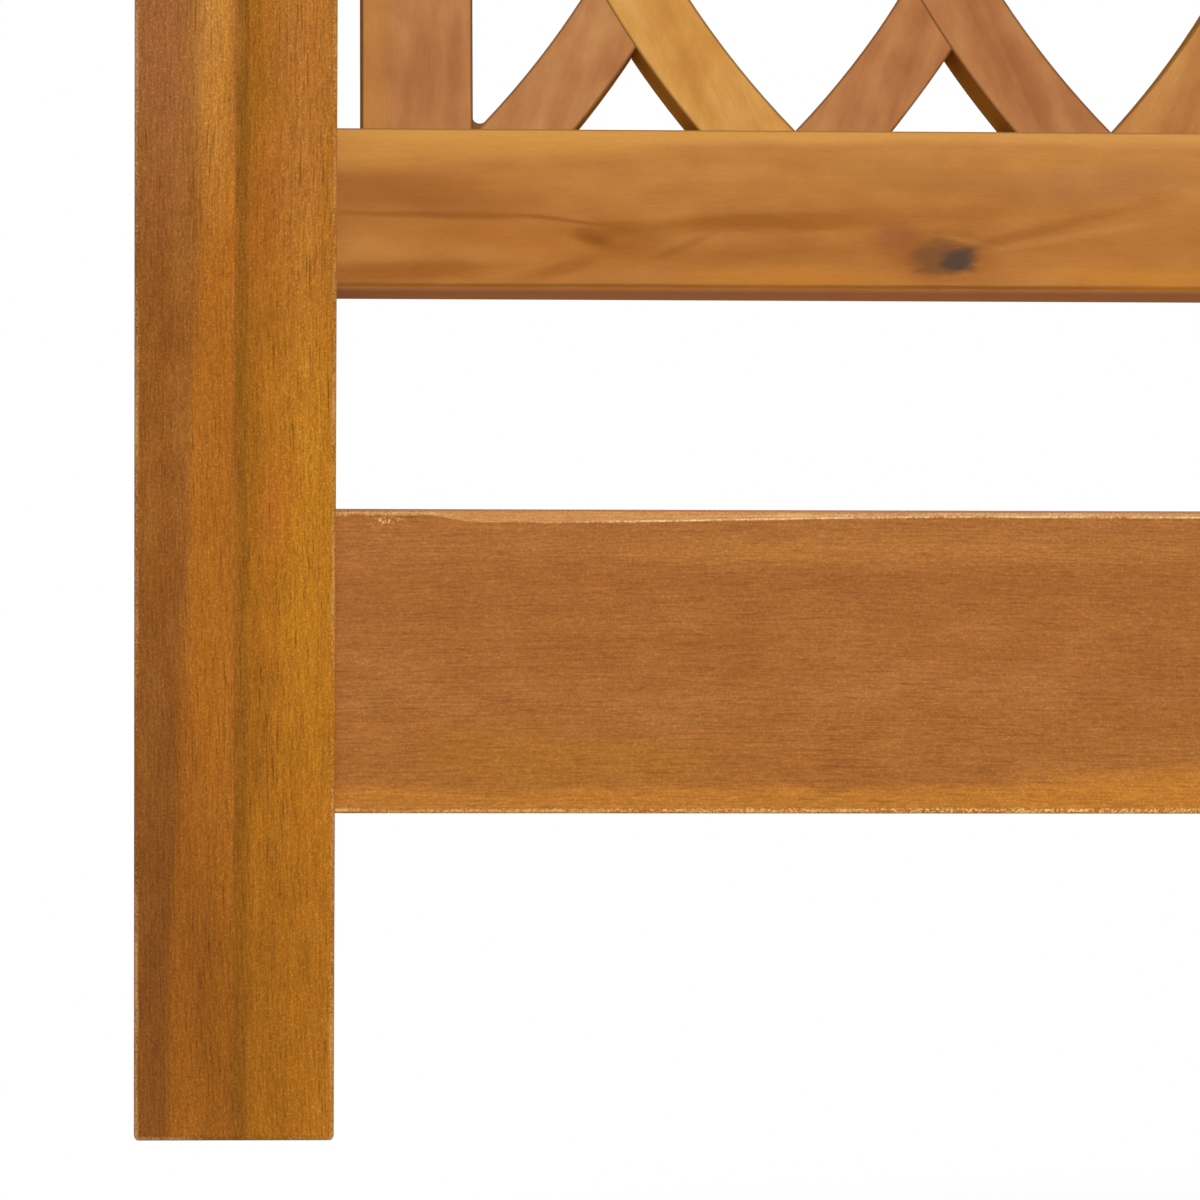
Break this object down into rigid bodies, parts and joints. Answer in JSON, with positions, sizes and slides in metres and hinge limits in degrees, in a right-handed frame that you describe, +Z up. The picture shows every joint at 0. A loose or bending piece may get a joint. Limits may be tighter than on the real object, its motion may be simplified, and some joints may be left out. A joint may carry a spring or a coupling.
{
  "type": "garden swing bench",
  "caption": "Hanging garden swing bench in oiled hardwood with square posts, a dished slat seat and a curved half-lapped lattice backrest, hung on chains from beam brackets.",
  "frame": {"origin": "on the underside of the beam that carries the swing, midway between the two brackets, straight above the pivot line", "axes": "+X along the bench to the right end as seen from the front, -Y towards the front, +Z up"},
  "size_m": [1.229, 0.5606, 1.9338],
  "materials": {
    "post_wood": "satin",
    "apron_wood": "satin",
    "back_wood": "satin",
    "lattice_brown_wood": "satin",
    "lattice_amber_wood": "satin",
    "seat_wood": "satin",
    "arm_wood": "satin",
    "screw_steel": "satin",
    "zinc_steel": "satin",
    "bush_plastic": "matte"
  },
  "bodies": {
    "beam_brackets": {"beam_bracket_left": "zinc_steel", "beam_bracket_right": "zinc_steel", "pivot_bolts": "zinc_steel"},
    "swing": {"front_post_left": "post_wood", "front_post_right": "post_wood", "rear_post_left": "post_wood", "rear_post_right": "post_wood", "front_apron": "apron_wood", "rear_rail": "apron_wood", "side_rail_left": "apron_wood", "side_rail_right": "apron_wood", "seat_bearer_1": "seat_wood", "seat_bearer_2": "seat_wood", "seat_bearer_3": "seat_wood", "seat_bearer_4": "seat_wood", "seat_slat_1": "seat_wood", "seat_slat_2": "seat_wood", "seat_slat_3": "seat_wood", "seat_slat_4": "seat_wood", "seat_slat_5": "seat_wood", "seat_slat_6": "seat_wood", "seat_slat_7": "seat_wood", "back_lower_rail": "back_wood", "back_crest_rail": "back_wood", "back_stile_left": "lattice_brown_wood", "back_stile_right": "lattice_brown_wood", "lattice_rising_right_1": "lattice_brown_wood", "lattice_rising_right_2": "lattice_brown_wood", "lattice_rising_right_3": "lattice_brown_wood", "lattice_rising_right_4": "lattice_brown_wood", "lattice_rising_right_5": "lattice_brown_wood", "lattice_rising_right_6": "lattice_brown_wood", "lattice_rising_right_7": "lattice_brown_wood", "lattice_rising_left_1": "lattice_amber_wood", "lattice_rising_left_2": "lattice_amber_wood", "lattice_rising_left_3": "lattice_amber_wood", "lattice_rising_left_4": "lattice_amber_wood", "lattice_rising_left_5": "lattice_amber_wood", "lattice_rising_left_6": "lattice_amber_wood", "lattice_rising_left_7": "lattice_amber_wood", "armrest_left": "arm_wood", "armrest_right": "arm_wood", "seat_screws": "screw_steel", "frame_bolts": "screw_steel", "barrel_nuts": "screw_steel", "eye_bolts": "zinc_steel", "eye_bolt_fixings": "zinc_steel", "chain_front_left": "zinc_steel", "chain_front_right": "zinc_steel", "chain_rear_left": "zinc_steel", "chain_rear_right": "zinc_steel", "gathering_ring_left": "zinc_steel", "gathering_ring_right": "zinc_steel", "oval_connector_left": "zinc_steel", "oval_connector_right": "zinc_steel", "pivot_strap_left": "zinc_steel", "pivot_strap_right": "zinc_steel", "pivot_bushes": "bush_plastic"}
  },
  "joints": [
    {"name": "swing", "type": "hinge", "parent": "beam_brackets", "child": "swing", "pos_m": [0, 0, -0.032], "axis": [1, 0, 0], "range_deg": [-25, 25]}
  ]
}
